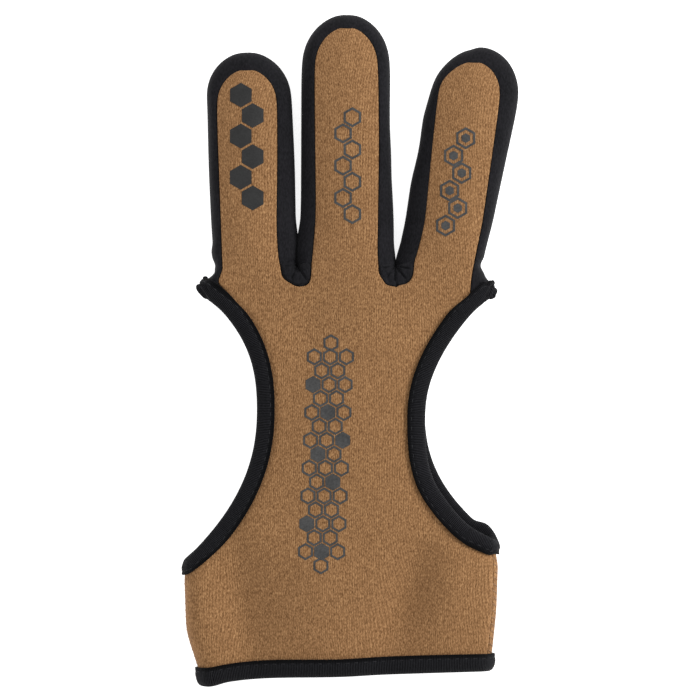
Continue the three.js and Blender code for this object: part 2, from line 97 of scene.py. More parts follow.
# The panels: two pieces of neoprene, foam rubber 2 mm thick with a tan jersey knit on its face. One is the
# back and one the palm, each with its three fingers, its hand and its half of the cuff. The edges are soft.
class Value:
    """A socket of a material's node, so that a pattern can be written as a sum."""

    def __init__(self, finish, socket):
        self.finish = finish
        self.socket = socket

    def work(self, operation, *others):
        values = [other.socket if isinstance(other, Value) else other for other in (self, *others)]
        return self.finish.add("ShaderNodeMath", {"operation": operation}, "Value", *values)

    def __add__(self, other):
        return self.work("ADD", other)

    def __sub__(self, other):
        return self.work("SUBTRACT", other)

    def __rsub__(self, other):
        return self.work("MULTIPLY", -1.0).work("ADD", other)

    def __mul__(self, other):
        return self.work("MULTIPLY", other)

    __radd__ = __add__
    __rmul__ = __mul__

    def step(self, low, high):
        """0 below low and 1 above high, with a soft step between them."""
        return self.finish.add(
            "ShaderNodeMapRange",
            {"interpolation_type": "SMOOTHSTEP"},
            "Result",
            self,
            low,
            high,
        )


class Finish:
    """A material for one of the glove's cloths."""

    def __init__(self, name, slot, roughness, sheen, specular):
        self.material = bpy.data.materials.new(name)
        self.material.use_nodes = True
        self.slot = slot
        self.nodes = self.material.node_tree.nodes
        self.links = self.material.node_tree.links
        self.cloth = self.nodes["Principled BSDF"]
        self.cloth.inputs["Roughness"].default_value = roughness
        self.cloth.inputs["Sheen Weight"].default_value = sheen
        self.cloth.inputs["Sheen Roughness"].default_value = 0.45
        self.cloth.inputs["Specular IOR Level"].default_value = specular
        self.place = self.add("ShaderNodeTexCoord", {}, "Object")

    def add(self, kind, settings, output, *inputs, **named):
        """A new node: its settings, the output that is used, and the values or links of its sockets."""
        node = self.nodes.new(kind)
        for setting, value in settings.items():
            if setting == "stops":
                while len(node.color_ramp.elements) < len(value):
                    node.color_ramp.elements.new(1.0)
                for element, (at, colour) in zip(node.color_ramp.elements, value):
                    element.position = at
                    element.color = (*colour, 1)
            else:
                setattr(node, setting, value)
        sockets = [*zip(node.inputs, inputs), *((node.inputs[key], value) for key, value in named.items())]
        for socket, value in sockets:
            value = value.socket if isinstance(value, Value) else value
            if isinstance(value, bpy.types.NodeSocket):
                self.links.new(value, socket)
            else:
                socket.default_value = value
        outputs = [socket for socket in node.outputs if socket.name == output and socket.enabled]
        return Value(self, outputs[0])

    def stretched(self, vector, scale):
        return self.add("ShaderNodeMapping", {}, "Vector", Vector=vector, Scale=scale)

    def noise(self, vector, scale, detail=3.0, roughness=0.55):
        return self.add(
            "ShaderNodeTexNoise", {}, "Fac", Vector=vector, Scale=scale, Detail=detail, Roughness=roughness
        )

    def ramp(self, value, *stops):
        return self.add("ShaderNodeValToRGB", {"stops": stops}, "Color", value)

    def mix(self, share, first, second, blend="MIX"):
        node = self.nodes.new("ShaderNodeMix")
        node.data_type = "RGBA"
        node.blend_type = blend
        for socket, value in zip((node.inputs[0], node.inputs[6], node.inputs[7]), (share, first, second)):
            value = value.socket if isinstance(value, Value) else value
            if isinstance(value, bpy.types.NodeSocket):
                self.links.new(value, socket)
            else:
                socket.default_value = value if isinstance(value, float) else (*value, 1)
        return Value(self, node.outputs[2])

    def colour(self, value):
        self.links.new(value.socket, self.cloth.inputs["Base Color"])

    def relief(self, height, depth):
        """Raises the surface by depth, in metres, where height is 1."""
        bump = self.nodes.new("ShaderNodeBump")
        bump.inputs["Strength"].default_value = 1.0
        bump.inputs["Distance"].default_value = depth
        self.links.new(height.socket, bump.inputs["Height"])
        self.links.new(bump.outputs["Normal"], self.cloth.inputs["Normal"])


# The knit: its upright rows, the width and height of a loop, and how much coarser than the loops the
# fibres lie.
WALE = 0.72 * MM
LOOP = 0.3 * MM
COURSE = 0.75 * MM
FIBRE_SHARE = 0.55

jersey = Finish("tan_jersey", "tan_neoprene", roughness=0.95, sheen=0.05, specular=0.12)
loops_per_metre = Vector((1 / LOOP, 1 / COURSE, 1 / LOOP))
knit_loops = jersey.noise(jersey.stretched(jersey.place, loops_per_metre), 1.0, 1.0, 0.5)
fibres = jersey.noise(jersey.stretched(jersey.place, loops_per_metre * FIBRE_SHARE), 1.0, 3.0, 0.7)
drift = jersey.noise(jersey.place, 140.0, 2.0)
cloud = jersey.noise(jersey.place, 28.0, 2.0)
across_knit = jersey.add("ShaderNodeSeparateXYZ", {}, "X", jersey.place)
down_side = jersey.add("ShaderNodeSeparateXYZ", {}, "Z", jersey.place)
wales = ((across_knit + down_side) * (2 * math.pi / WALE) + drift * 9.0 + knit_loops * 2.4).work("SINE")
knit = knit_loops * 0.52 + fibres * 0.35 + wales * 0.04 + 0.065
tan = jersey.ramp(
    knit,
    (0.34, (0.112, 0.051, 0.0195)),
    (0.5, (0.255, 0.131, 0.055)),
    (0.66, (0.448, 0.25, 0.115)),
)
jersey.colour(jersey.mix((cloud + drift * 0.5).step(0.5, 1.0) * 0.14, tan, (0.17, 0.083, 0.034)))
jersey.relief(knit, 0.12 * MM)


def edit(piece):
    """Selects one piece alone and opens it in edit mode, with all of its mesh selected."""
    bpy.ops.object.select_all(action="DESELECT")
    piece.select_set(True)
    bpy.context.view_layer.objects.active = piece
    bpy.ops.object.mode_set(mode="EDIT")
    bpy.ops.mesh.select_all(action="SELECT")


def cut_out(name, node):
    """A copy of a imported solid, its triangles merged and paired into four-sided faces."""
    piece = bpy.data.objects.new(name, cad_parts[node].data.copy())
    bpy.context.collection.objects.link(piece)
    piece.data.materials.clear()
    edit(piece)
    bpy.ops.mesh.customdata_custom_splitnormals_clear()
    bpy.ops.mesh.remove_doubles(threshold=0.001 * MM)
    bpy.ops.mesh.tris_convert_to_quads(face_threshold=math.radians(50), shape_threshold=math.radians(60))
    bpy.ops.object.mode_set(mode="OBJECT")
    return piece


SHARP = math.radians(70)


def round_edges(piece, edge, levels):
    """Bevels the cut edges and smooths the whole, with the modifier applied."""
    edit(piece)
    bpy.ops.mesh.select_all(action="DESELECT")
    bpy.ops.mesh.select_mode(type="EDGE")
    bpy.ops.mesh.edges_select_sharp(sharpness=SHARP)
    bpy.ops.mesh.bevel(offset=edge, segments=2, affect="EDGES", clamp_overlap=True)
    bpy.ops.object.mode_set(mode="OBJECT")
    smoothing = piece.modifiers.new("smoothing", "SUBSURF")
    smoothing.levels = levels
    smoothing.render_levels = levels
    bpy.ops.object.modifier_apply(modifier=smoothing.name)
    bpy.ops.object.shade_smooth()


def move_points(piece, change):
    """Moves every point of a piece by what change gives for its place and its normal."""
    normals = [vertex.normal.copy() for vertex in piece.data.vertices]
    for vertex, normal in zip(piece.data.vertices, normals):
        vertex.co += change(vertex.co.copy(), normal)
    piece.data.update()


def finished(piece, finish, node=None):
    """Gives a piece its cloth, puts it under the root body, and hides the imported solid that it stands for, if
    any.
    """
    piece.data.materials.append(finish.material)
    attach(piece, "root")
    if node:
        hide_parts(node)


PANEL_EDGE = 0.5 * MM
FULLNESS = 0.12 * MM
SWELL = 0.2 * MM
SWELL_SCALE = 42.0
BACK_FROM = 4.0 * MM
BACK_TO = 10.0 * MM

# Places where the sewing draws the cloth out of its flat pattern: x and y, the push in x and y, and the
# reach, in mm, and whether it pulls at both panels, at the back's or at the palm's.
PULLS = (
    (-42.0, 22.0, -1.5, 0.5, 6.0, "both"),
    (-45.8, 27.8, 1.0, 0.0, 3.4, "both"),
    (-45.9, 32.8, -0.7, 0.0, 4.0, "both"),
    (45.0, 28.6, -0.8, 0.0, 3.2, "both"),
    (-54.0, -110.5, 2.7, 0.0, 18.0, "both"),
    (-31.0, -109.0, 0.0, 1.2, 34.0, "both"),
    (-48.0, -112.0, 0.0, -0.6, 8.0, "both"),
    (-13.7, 24.6, 0.7, -1.7, 5.5, "both"),
    (-20.8, 25.2, -0.6, -0.5, 4.0, "both"),
    (20.0, 25.6, 1.3, -1.5, 5.5, "both"),
    (11.6, 26.0, -0.5, -0.6, 4.0, "both"),
    (13.4, 22.6, -0.5, -0.7, 3.2, "both"),
    (19.6, 22.6, 0.5, -0.7, 3.2, "both"),
    (-46.4, 25.2, 1.4, 0.3, 2.8, "both"),
    (39.5, -60.0, 0.0, -2.2, 15.0, "back"),
    (48.0, -61.5, 0.0, 2.8, 8.0, "palm"),
    (50.9, -69.0, -0.7, 1.5, 4.0, "both"),
    (38.0, 105.0, 0.0, -1.4, 20.0, "both"),
    (30.0, 99.5, 0.8, -0.8, 14.0, "both"),
)
# The ring finger was laid down leaning outwards: where along it the lean begins and is full, how far it
# goes, and the gap between the middle finger and the ring finger, in mm.
LEAN_FROM = 24.0
LEAN_TO = 46.0
LEAN = 1.4
RING_GAP_FROM = 15.9
RING_GAP_TO = 16.5
# The soft folds of the back: x and y of the middle, the turn in degrees, half the width, half the length
# and the height.
FOLDS = (
    (-36.5, -86.0, 8.0, 7.8, 26.0, -3.8),
    (-50.0, -88.0, 0.0, 6.0, 24.0, 0.6),
    (17.0, -88.0, -18.0, 6.8, 22.0, -3.4),
    (33.0, -84.0, -14.0, 7.0, 20.0, 1.2),
    (-10.0, -85.0, 0.0, 12.0, 22.0, 0.9),
    (6.0, 10.0, 0.0, 14.0, 16.0, 1.3),
    (-14.0, 8.0, 0.0, 8.0, 12.0, -0.8),
    (2.0, -35.0, 0.0, 15.0, 30.0, 1.5),
)


def smooth_step(value):
    value = min(1.0, max(0.0, value))
    return value * value * (3 - 2 * value)


def laid(point):
    """How far the cloth at a place lies from its flat pattern, by the pulls, the lean and the soft folds."""
    back = smooth_step((point.z - BACK_FROM) / (BACK_TO - BACK_FROM))
    sides = {"both": 1.0, "back": back, "palm": 1.0 - back}
    x, y = point.x / MM, point.y / MM
    change = Vector((0, 0, 0))
    for middle_x, middle_y, push_x, push_y, reach, side in PULLS:
        share = smooth_step(1 - math.hypot(x - middle_x, y - middle_y) / reach) * sides[side]
        change += Vector((push_x, push_y, 0)) * share
    on_ring_finger = smooth_step((x - RING_GAP_FROM) / (RING_GAP_TO - RING_GAP_FROM))
    change.x += LEAN * smooth_step((y - LEAN_FROM) / (LEAN_TO - LEAN_FROM)) * on_ring_finger
    for middle_x, middle_y, turn, width, length, height in FOLDS:
        away = Vector((x - middle_x, y - middle_y))
        away.rotate(Matrix.Rotation(math.radians(-turn), 2))
        change.z += back * height * math.exp(-((away.x / width) ** 2) - (away.y / length) ** 2)
    return change * MM


def soften(point, normal):
    """The foam's own thickness, with shallow swells, and never below the table."""
    swell = noise.noise(point * SWELL_SCALE) * SWELL
    change = normal * (FULLNESS + swell * max(0.0, normal.z)) + laid(point)
    return Vector((change.x, change.y, max(change.z, -point.z)))


patterns = []


def keep_pattern(piece):
    """Keeps a copy of a piece as it is cut, before it is laid, to measure what is sewn on it."""
    copy = piece.copy()
    copy.data = piece.data.copy()
    patterns.append(copy)


def surface_of(pieces):
    points = []
    faces = []
    for piece in pieces:
        first = len(points)
        points += [vertex.co.copy() for vertex in piece.data.vertices]
        faces += [[first + index for index in face.vertices] for face in piece.data.polygons]
    return BVHTree.FromPolygons(points, faces)


palm_panel = cut_out("palm_cloth", "palm_panel")
back_panel = cut_out("back_cloth", "back_panel")
for panel, node in ((palm_panel, "palm_panel"), (back_panel, "back_panel")):
    round_edges(panel, PANEL_EDGE, levels=2)
    keep_pattern(panel)
    move_points(panel, soften)
    finished(panel, jersey, node)


# The finger walls: a strip of black stretch fabric round each finger, sewn to the back and the palm, that
# rolls out between them. It lies full where the finger's side is seen, and in the crotches it is tucked.
WALL_EDGE = 0.35 * MM
WALL_FULLNESS = 0.3 * MM
TUCK_DEPTH = 0.55 * MM
TUCK_WIDTH = 0.5 * MM
# Each crotch: x and y of the middle of its fullness, and how far that reaches along the fingers, in mm,
# and its height.
CROTCHES = ((-16.6, 35.0, 11.0, 0.8 * MM), (16.0, 27.5, 10.0, 0.85 * MM))
# Where the ring finger's wall is drawn in under the tan back: x and y, the push in x and y, and the
# reach, in mm.
WALL_PULLS = ((27.0, 92.0, 0.9, 0.0, 16.0), (22.5, 67.0, 0.7, 0.0, 13.0))
# Each tuck runs between two places, given as x and y, in mm.
TUCKS = (
    ((-20.8, 29.0), (-16.9, 30.3)),
    ((-16.8, 28.8), (-18.4, 23.4)),
    ((-16.0, 27.0), (-14.3, 22.2)),
    ((16.3, 28.6), (14.4, 23.6)),
    ((16.6, 27.6), (18.7, 23.8)),
    ((12.2, 29.4), (15.6, 30.6)),
)

THREADS_PER_METRE = (1900.0, 900.0, 1500.0)

stretch = Finish("black_stretch", "black_stretch_fabric", roughness=0.85, sheen=0.025, specular=0.13)
threads = stretch.noise(stretch.stretched(stretch.place, THREADS_PER_METRE), 1.0, 2.0, 0.6)
patches = stretch.noise(stretch.place, 60.0, 2.0)
stretch.colour(
    stretch.ramp(
        threads * 0.7 + patches * 0.3,
        (0.35, (0.0035, 0.0035, 0.0045)),
        (0.65, (0.0125, 0.012, 0.0145)),
    )
)
stretch.relief(threads, 0.06 * MM)


def pulled(point, pulls):
    """How far a place is drawn by pulls that are given as the panels' are."""
    change = Vector((0, 0, 0))
    for x, y, push_x, push_y, reach in pulls:
        share = smooth_step(1 - math.hypot(point.x / MM - x, point.y / MM - y) / reach)
        change += Vector((push_x, push_y, 0)) * share * MM
    return change


def tucked(point, normal):
    """The wall's fullness, less the tucks that are sewn into it between two fingers."""
    place = Vector((point.x, point.y)) / MM
    depth = 0.0
    for start, end in TUCKS:
        along = Vector(end) - Vector(start)
        share = min(1.0, max(0.0, (place - Vector(start)).dot(along) / along.length_squared))
        gap = (place - Vector(start) - along * share).length * MM
        depth = max(depth, TUCK_DEPTH * math.exp(-((gap / TUCK_WIDTH) ** 2)))
    full = WALL_FULLNESS
    for middle_x, middle_y, reach, fullness in CROTCHES:
        full += fullness * smooth_step(1 - math.hypot((place.x - middle_x) * 2, place.y - middle_y) / reach)
    return normal * (full - depth * max(0.0, normal.z)) + laid(point) + pulled(point, WALL_PULLS)


walls = []
for finger in ("index", "middle", "ring"):
    wall = cut_out(f"{finger}_wall_cloth", f"{finger}_side_wall")
    round_edges(wall, WALL_EDGE, levels=3)
    keep_pattern(wall)
    move_points(wall, tucked)
    finished(wall, stretch, f"{finger}_side_wall")
    walls.append(wall)


# The bindings: ribbed black tape folded over the free edges of the two openings and the hem, and pressed
# down on the cloth along its stitched edge. Its ribs run across it, and each stitch pulls a dimple into it.
TAPE_EDGE = 0.22 * MM
RIB = 0.55 * MM
EDGE_FADE = 2.6 * MM
EDGE_DRAW = 3.2 * MM
TAPE_PRESS = 0.42 * MM
TAPE_FULLNESS = 0.08 * MM
STITCH_PITCH = 3.1 * MM
STITCH_INSET = 1.35 * MM
STITCH_VALLEY = 0.5 * MM
DIMPLE = 0.3 * MM
SLACK_BETWEEN = 0.35
RUN_STEP = 0.2 * MM
SHORTEST_LOOP = 8
WAY_REACH = 1.0 * MM
GROOVE = 0.75 * MM
GROOVE_WIDTH = 0.65 * MM

tape_finish = Finish("black_tape", "black_binding_tape", roughness=0.85, sheen=0.02, specular=0.1)
along_tape = tape_finish.add("ShaderNodeUVMap", {"uv_map": "along"}, "UV")
along_edge = tape_finish.add("ShaderNodeSeparateXYZ", {}, "X", along_tape)
from_edge = tape_finish.add("ShaderNodeSeparateXYZ", {}, "Y", along_tape)
grain = tape_finish.noise(tape_finish.place, 1300.0, 2.0)
ridge = (along_edge * (2 * math.pi / (RIB / MM)) + grain * 2.0).work("SINE") * 0.5 + 0.5
weave = ridge * 0.65 + grain * 0.35
cord = tape_finish.ramp(weave, (0.3, (0.0005, 0.0005, 0.001)), (0.85, (0.0195, 0.0195, 0.0225)))
# Painted shade: the tape is near-black within 0.3 mm of its stitched edge and fades to its own ribbed colour by
# 1.9 mm, standing in for the shadow where that edge is pressed into the cloth.
tape_finish.colour(tape_finish.mix(1.0 - from_edge.step(0.3, 1.9), cord, (0.0006, 0.0006, 0.001)))
tape_finish.relief(weave, 0.25 * MM)

cloth_surface = surface_of((palm_panel, back_panel, *walls))
pattern_surface = surface_of(patterns)
for cloth in patterns:
    bpy.data.objects.remove(cloth)


def cut_loops(piece):
    """The closed rows of points along a piece's cut edges, each in order."""
    mesh = bmesh.new()
    mesh.from_mesh(piece.data)
    sharp = {edge for edge in mesh.edges if edge.calc_face_angle(0.0) > SHARP}
    loops = []
    while sharp:
        edge = sharp.pop()
        points = [edge.verts[0], edge.verts[1]]
        following = edge
        while following:
            following = next((e for e in points[-1].link_edges if e in sharp), None)
            if following:
                sharp.remove(following)
                points.append(following.other_vert(points[-1]))
        if len(points) > SHORTEST_LOOP:
            loops.append([point.co.copy() for point in points])
    mesh.free()
    return loops


def height_of(loop):
    heights = [point.z for point in loop]
    return max(heights) - min(heights)


def tree_of(points):
    tree = KDTree(len(points))
    for index, point in enumerate(points):
        tree.insert(point, index)
    tree.balance()
    return tree


class Route:
    """A closed path round an edge, with evenly spaced points, that tells how far along it a place lies."""

    def __init__(self, corners):
        lengths = [(after - before).length for before, after in zip(corners, corners[1:])]
        self.length = sum(lengths)
        count = round(self.length / RUN_STEP)
        self.step = self.length / count
        self.points = []
        corner = 0
        passed = 0.0
        for index in range(count):
            while index * self.step > passed + lengths[corner]:
                passed += lengths[corner]
                corner += 1
            share = (index * self.step - passed) / lengths[corner]
            self.points.append(corners[corner].lerp(corners[corner + 1], share))
        self.tree = tree_of(self.points)

    def at(self, distance):
        place = distance / self.step
        index = math.floor(place)
        before, after = (self.points[(index + offset) % len(self.points)] for offset in (0, 1))
        return before.lerp(after, place - index)

    def way(self, distance, reach=WAY_REACH):
        return (self.at(distance + reach) - self.at(distance - reach)).normalized()

    def place(self, point):
        _, index, gap = self.tree.find(point)
        run = index * self.step
        return run + (point - self.points[index]).dot(self.way(run, self.step)), gap


# Beside each knuckle the tape turns round the glove's side. Its tips stand out there, and its cut edge is
# drawn up: x and y, the push in x and y, and the reach, in mm.
EAR_TIPS = (
    (-49.8, 20.8, -1.3, 0.0, 3.6),
    (48.2, 23.9, -0.3, -2.2, 3.2),
    (50.0, 18.6, 0.5, -0.9, 3.2),
)
EAR_EDGES = ((-43.0, 20.5, 0.2, 1.8, 9.0), (42.0, 15.5, 0.3, -0.9, 9.0))


def bind(name, node, swell=lambda point, normal: 0.0):
    """The tape along one edge, laid and pressed on the cloth, whose points know how far round they lie."""
    tape = cut_out(name, node)
    loops = cut_loops(tape)
    round_edges(tape, TAPE_EDGE, levels=3)
    cuts = tree_of([point for loop in loops for point in Route(loop).points])

    def lay(point):
        near, facing, _, _ = pattern_surface.find_nearest(point)
        edge = max(0.0, 1 - cuts.find(point)[2] / EDGE_DRAW)
        moved = point + laid(point) + pulled(point, EAR_TIPS)
        moved += pulled(point, EAR_EDGES) * edge * max(0.0, facing.z)
        below, slope, _, _ = cloth_surface.find_nearest(moved)
        rise = (point - near).dot(facing) - (moved - below).dot(slope)
        return moved - point + slope * rise * edge

    move_points(tape, lambda point, normal: lay(point))
    loops = [[point + lay(point) for point in loop] for loop in loops]
    route = Route(max(loops, key=height_of))
    edge_points = [point for loop in loops for point in Route(loop).points]
    cuts = tree_of(edge_points)

    def press(point, normal):
        near = cloth_surface.find_nearest(point)[0]
        from_cut = cuts.find(point)[2]
        away = (point - near).normalized()
        seat = max(0.0, 1 - from_cut / EDGE_FADE)
        valley = math.exp(-(((from_cut - STITCH_INSET) / STITCH_VALLEY) ** 2))
        wave = math.cos(2 * math.pi * route.place(point)[0] / STITCH_PITCH)
        pull = 1 - SLACK_BETWEEN + SLACK_BETWEEN * wave
        outer = max(0.0, normal.dot(away))
        inward = TAPE_PRESS * smooth_step(seat) + DIMPLE * valley * pull * outer
        return normal * (TAPE_FULLNESS + swell(point, normal)) - away * inward

    move_points(tape, press)
    layer = tape.data.uv_layers.new(name="along")
    runs = [route.place(vertex.co) for vertex in tape.data.vertices]
    for face in tape.data.polygons:
        highest = max(runs[index][0] for index in face.vertices)
        for corner, index in zip(face.loop_indices, face.vertices):
            run, gap = runs[index]
            lap = route.length if highest - run > route.length / 2 else 0.0
            layer.data[corner].uv = ((run + lap) / MM, gap / MM)
    finished(tape, tape_finish, node)
    return tape, route, edge_points


EARS = (Vector((-48.0, 21.0, 8.0)) * MM, Vector((48.0, 20.5, 8.0)) * MM)
EAR_SPREAD = 7.0 * MM
GATHER = 0.55 * MM
GATHER_PITCH = 2.3 * MM
GATHER_LEAN = 0.4
GATHER_WANDER = 2.5
WANDER_SCALE = 160.0


def gathered(point, normal):
    """The small folds that the tape is gathered into at an ear, which run along it."""
    ear = min(EARS, key=lambda place: (point - place).length)
    near = max(0.0, 1 - (point - ear).length / EAR_SPREAD)
    across = (point - ear).dot(Vector((-ear.x, abs(ear.x), 0)).normalized())
    across += GATHER_LEAN * (point.z - ear.z)
    phase = 2 * math.pi * across / GATHER_PITCH + GATHER_WANDER * noise.noise(point * WANDER_SCALE)
    return GATHER * math.sin(phase) * near * (2 - near)


thumb_tape, thumb_route, thumb_edge = bind("thumb_binding", "thumb_opening_tape", gathered)
little_tape, little_route, little_edge = bind("little_finger_binding", "little_finger_opening_tape", gathered)
hem_tape, hem_route, hem_edge = bind("hem_binding", "hem_tape")

pressed_edges = tree_of(thumb_edge + little_edge + hem_edge)


def give_way(point, normal):
    """The groove that the tapes' edges press into the cloth."""
    gap = pressed_edges.find(point)[2]
    return -normal * GROOVE * math.exp(-((gap / GROOVE_WIDTH) ** 2))


for cloth in (palm_panel, back_panel):
    move_points(cloth, give_way)


# The stitches: black thread along the bindings, one row near each tape's cut edge, drawn down into the tape.
THREAD = 0.15 * MM
STITCH = 1.9 * MM
THREAD_LIFT = 0.35 * THREAD
END_DROP = 1.2 * THREAD
ABOVE_TAPE = 2 * MM
TAPE_DEPTH = 5 * MM

thread_finish = Finish("black_thread", "black_binding_tape", roughness=0.6, sheen=0.0, specular=0.2)
ply = thread_finish.noise(thread_finish.place, 3000.0, 1.0)
thread_finish.colour(thread_finish.ramp(ply, (0.3, (0.006, 0.006, 0.007)), (0.7, (0.026, 0.026, 0.029))))
thread_finish.relief(ply, 0.05 * MM)

bpy.ops.mesh.primitive_uv_sphere_add(segments=8, ring_count=7, radius=THREAD)
bpy.context.object.name = "one_stitch"
stitch = bpy.context.object
edit(stitch)
bpy.ops.transform.resize(value=(1, 1, STITCH / (2 * THREAD)))
bpy.ops.object.mode_set(mode="OBJECT")
stitch_points = [vertex.co.copy() for vertex in stitch.data.vertices]
stitch_faces = [list(face.vertices) for face in stitch.data.polygons]
bpy.data.objects.remove(stitch)


def sewn_mesh(name, points, faces):
    """A new piece made of points and faces, with its faces all turned the same way."""
    mesh = bpy.data.meshes.new(name)
    mesh.from_pydata(points, [], faces)
    piece = bpy.data.objects.new(name, mesh)
    bpy.context.collection.objects.link(piece)
    edit(piece)
    bpy.ops.mesh.normals_make_consistent(inside=False)
    bpy.ops.object.mode_set(mode="OBJECT")
    return piece


def sew(name, tape, route):
    """A row of stitches along a tape, a little in from its cut edge, each bent down at its ends."""
    surface = BVHTree.FromObject(tape, bpy.context.evaluated_depsgraph_get())
    count = round(route.length / STITCH_PITCH)
    points = []
    faces = []
    for index in range(count):
        run = index * route.length / count
        edge = route.at(run)
        way = route.way(run)
        near = cloth_surface.find_nearest(edge)[0]
        away = (edge - near).normalized()
        inward = way.cross(away).normalized()
        if not surface.ray_cast(edge + inward * STITCH_INSET + away * MM, -away, 3 * MM)[0]:
            inward = -inward
        hit, facing, _, _ = surface.ray_cast(
            edge + inward * STITCH_INSET + away * ABOVE_TAPE, -away, TAPE_DEPTH
        )
        if hit is None:
            continue
        first = len(points)
        side = way.cross(facing).normalized()
        for point in stitch_points:
            drop = END_DROP * (2 * point.z / STITCH) ** 2
            points.append(hit + side * point.x + facing * (point.y + THREAD_LIFT - drop) + way * point.z)
        faces += [[first + corner for corner in face] for face in stitch_faces]
    piece = sewn_mesh(name, points, faces)
    bpy.ops.object.shade_smooth()
    finished(piece, thread_finish)


sew("thumb_stitches", thumb_tape, thumb_route)
sew("little_finger_stitches", little_tape, little_route)
sew("hem_stitches", hem_tape, hem_route)


# The crotches: between two fingers the black strip is bent sharply round and gathered, so it lies in small
# folds that run out from the end of the gap. Its outer edge is tucked under the tan back.
GUSSET_TURNS = 61
GUSSET_RINGS = 17
GUSSET_THICKNESS = 0.5 * MM
# From the tan edge inwards: the share of the way that it reaches, how far its roll stands up, where the roll
# is highest and how wide it is, and where and how deep the outer edge and the flat part beside it lie.
GUSSET_WIDTH = 0.93
ROLL_HEIGHT = 1.25 * MM
ROLL_MIDDLE = 0.38
ROLL_HALF = 0.66
SEWN_BACK = 0.45 * MM
HEM_UNDER = 0.3 * MM
HEM_DEPTH = 2.2 * MM
SEWN_DEPTH = 0.95 * MM
# How it goes down: at its two ends, over an angle, and into the gap, from a share of its width on.
END_DEPTH = 1.1 * MM
END_ANGLE = math.radians(26.0)
GAP_DEPTH = 2.4 * MM
GAP_FROM = 0.6
FOLD_WIDTH = 0.36 * MM
FOLD_DEPTH = 0.8 * MM
FOLD_RISE = 3.2
BUMP = 0.14 * MM
# Each crotch: x and y of the gap's end, in mm, and the ways in which its folds run, in degrees.
GUSSETS = (
    ("index_crotch", (-16.9, 28.6), (-172.0, -112.0, -58.0)),
    ("ring_crotch", (16.0, 28.4), (-168.0, -128.0, -92.0, -52.0, -14.0)),
)
GUSSET_FROM = math.radians(-196.0)
GUSSET_TO = math.radians(16.0)
RIM_STEP = 0.1 * MM
RIM_FROM = 0.5 * MM
RIM_TO = 9 * MM
ABOVE_GLOVE = 50 * MM

back_surface = surface_of((back_panel,))


def on_back(x, y):
    """The place on the tan back straight below or above x and y, and which way the cloth faces there."""
    return back_surface.ray_cast(Vector((x, y, ABOVE_GLOVE)), Vector((0, 0, -1)))[:2]


def rim_at(middle, turn):
    """Where the tan back begins, going out from a crotch's middle, and its height there."""
    gap = RIM_FROM
    while gap < RIM_TO:
        hit, _ = on_back(middle.x + gap * math.cos(turn), middle.y + gap * math.sin(turn))
        if hit:
            return gap, hit.z
        gap += RIM_STEP
    return gap, None


def gusset_point(middle, turn, gap, share, ways):
    """A point of a gathered crotch, its height from the rim: share is 0 under the tan edge and 1 in the gap."""
    at_hem = share == 0
    reach = (gap - (-HEM_UNDER if at_hem else SEWN_BACK)) * (1 - GUSSET_WIDTH * share)
    roll = ROLL_HEIGHT * math.sqrt(max(0.0, 1 - ((share - ROLL_MIDDLE) / ROLL_HALF) ** 2))
    crease = 0.0
    for way in ways:
        off = (turn - math.radians(way)) * reach
        crease = max(crease, math.exp(-((off / FOLD_WIDTH) ** 2)) * smooth_step(share * FOLD_RISE))
    from_end = smooth_step(min(turn - GUSSET_FROM, GUSSET_TO - turn) / END_ANGLE)
    into_gap = smooth_step((share - GAP_FROM) / (1 - GAP_FROM))
    drop = END_DEPTH * (1 - from_end) + FOLD_DEPTH * crease + GAP_DEPTH * into_gap
    bump = BUMP * noise.noise(Vector((turn * 5, share * 2.2, middle.x * 900)))
    height = roll - drop + bump - (HEM_DEPTH if at_hem else SEWN_DEPTH)
    return Vector((middle.x + reach * math.cos(turn), middle.y + reach * math.sin(turn), height))


for name, place, ways in GUSSETS:
    middle = Vector(place) * MM
    turn_step = (GUSSET_TO - GUSSET_FROM) / (GUSSET_TURNS - 1)
    turns = [GUSSET_FROM + turn_step * step for step in range(GUSSET_TURNS)]
    rims = [rim_at(middle, turn) for turn in turns]
    heights = [height for _, height in rims if height]
    level = Vector((0, 0, sum(heights) / len(heights)))
    points = [
        level + gusset_point(middle, turn, gap, ring / (GUSSET_RINGS - 1), ways)
        for turn, (gap, _) in zip(turns, rims)
        for ring in range(GUSSET_RINGS)
    ]
    faces = []
    for step in range(GUSSET_TURNS - 1):
        for ring in range(GUSSET_RINGS - 1):
            corner = step * GUSSET_RINGS + ring
            faces.append((corner, corner + GUSSET_RINGS, corner + GUSSET_RINGS + 1, corner + 1))
    gusset = sewn_mesh(name, points, faces)
    if gusset.data.polygons[0].normal.z < 0:
        gusset.data.flip_normals()
    depth = gusset.modifiers.new("depth", "SOLIDIFY")
    depth.thickness = GUSSET_THICKNESS
    depth.offset = -1
    bpy.ops.object.modifier_apply(modifier=depth.name)
    smoothing = gusset.modifiers.new("smoothing", "SUBSURF")
    smoothing.levels = 1
    smoothing.render_levels = 1
    bpy.ops.object.modifier_apply(modifier=smoothing.name)
    bpy.ops.object.shade_smooth()
    finished(gusset, stretch)


# The print: a thin film of dark ink, a little glossy, laid on the back in a plain honeycomb pattern. The
# cells are solid on the index finger and open on the middle one, and a honeycomb strip runs down the hand.
INK = 0.09 * MM
FILM = 1.4 * INK
LINE = 0.75 * MM


def ink(name, dark, light):
    finish = Finish(name, "black_stretch_fabric", roughness=0.46, sheen=0.0, specular=0.4)
    grit = finish.noise(finish.place, 1500.0, 2.0)
    worn = finish.noise(finish.place, 260.0, 3.0)
    finish.colour(finish.ramp(grit * 0.5 + worn * 0.5, (0.35, (dark,) * 3), (0.65, (light,) * 3)))
    finish.relief(grit, 0.05 * MM)
    return finish


black_ink = ink("black_ink", 0.008, 0.018)
grey_ink = ink("grey_ink", 0.026, 0.06)


